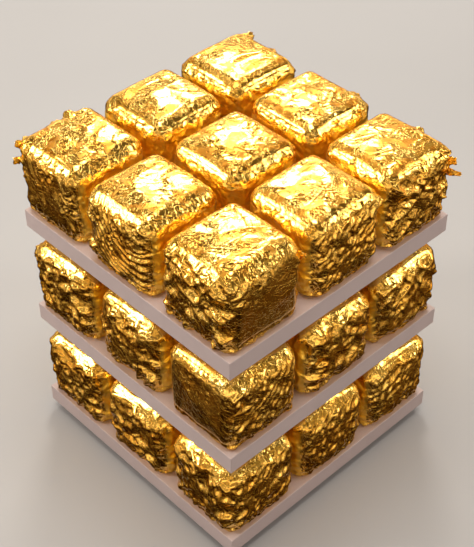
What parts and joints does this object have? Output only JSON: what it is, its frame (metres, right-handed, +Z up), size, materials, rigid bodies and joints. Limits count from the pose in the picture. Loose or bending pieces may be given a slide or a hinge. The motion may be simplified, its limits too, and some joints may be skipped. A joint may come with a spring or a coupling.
{
  "type": "three-tier block cube puzzle",
  "caption": "Puzzle cube of rounded gold-leafed blocks on stacked square white plates that turn in tiers about a hidden central spindle, standing on rubber feet.",
  "frame": {"origin": "on the ground under the spindle's axis, at the centre of the four feet's soles", "axes": "+Z up along the spindle; X and Y run along the plates' sides, with -Y the front and +X the right"},
  "size_m": [0.14, 0.14, 0.176],
  "materials": {
    "gold_leaf": "polished",
    "white_sheet": "satin",
    "turned_steel": "satin",
    "bush_bronze": "satin",
    "nylon": "satin",
    "zinc_steel": "satin",
    "black_steel": "satin",
    "rubber": "matte"
  },
  "bodies": {
    "base_tier": {"base_plate": "white_sheet", "spindle": "turned_steel", "spindle_screws": "zinc_steel", "foot_screws": "zinc_steel", "foot_front_left": "rubber", "foot_front_right": "rubber", "foot_back_left": "rubber", "foot_back_right": "rubber", "middle_thrust_washer": "nylon", "middle_retaining_ring": "black_steel", "top_thrust_washer": "nylon", "end_washer": "zinc_steel", "end_screw": "black_steel", "bottom_block_screws": "zinc_steel", "bottom_block_front_left": "gold_leaf", "bottom_block_front_centre": "gold_leaf", "bottom_block_front_right": "gold_leaf", "bottom_block_middle_left": "gold_leaf", "bottom_block_middle_centre": "gold_leaf", "bottom_block_middle_right": "gold_leaf", "bottom_block_back_left": "gold_leaf", "bottom_block_back_centre": "gold_leaf", "bottom_block_back_right": "gold_leaf"},
    "middle_tier": {"middle_plate": "white_sheet", "middle_bush": "bush_bronze", "middle_block_screws": "zinc_steel", "middle_block_front_left": "gold_leaf", "middle_block_front_centre": "gold_leaf", "middle_block_front_right": "gold_leaf", "middle_block_middle_left": "gold_leaf", "middle_block_middle_centre": "gold_leaf", "middle_block_middle_right": "gold_leaf", "middle_block_back_left": "gold_leaf", "middle_block_back_centre": "gold_leaf", "middle_block_back_right": "gold_leaf"},
    "top_tier": {"top_plate": "white_sheet", "top_bush": "bush_bronze", "top_block_screws": "zinc_steel", "top_block_front_left": "gold_leaf", "top_block_front_centre": "gold_leaf", "top_block_front_right": "gold_leaf", "top_block_middle_left": "gold_leaf", "top_block_middle_centre": "gold_leaf", "top_block_middle_right": "gold_leaf", "top_block_back_left": "gold_leaf", "top_block_back_centre": "gold_leaf", "top_block_back_right": "gold_leaf"}
  },
  "joints": [
    {"name": "middle_tier_turn", "type": "hinge", "parent": "base_tier", "child": "middle_tier", "pos_m": [0, 0, 0.07], "axis": [0, 0, 1], "continuous": true},
    {"name": "top_tier_turn", "type": "hinge", "parent": "base_tier", "child": "top_tier", "pos_m": [0, 0, 0.13], "axis": [0, 0, 1], "continuous": true}
  ]
}
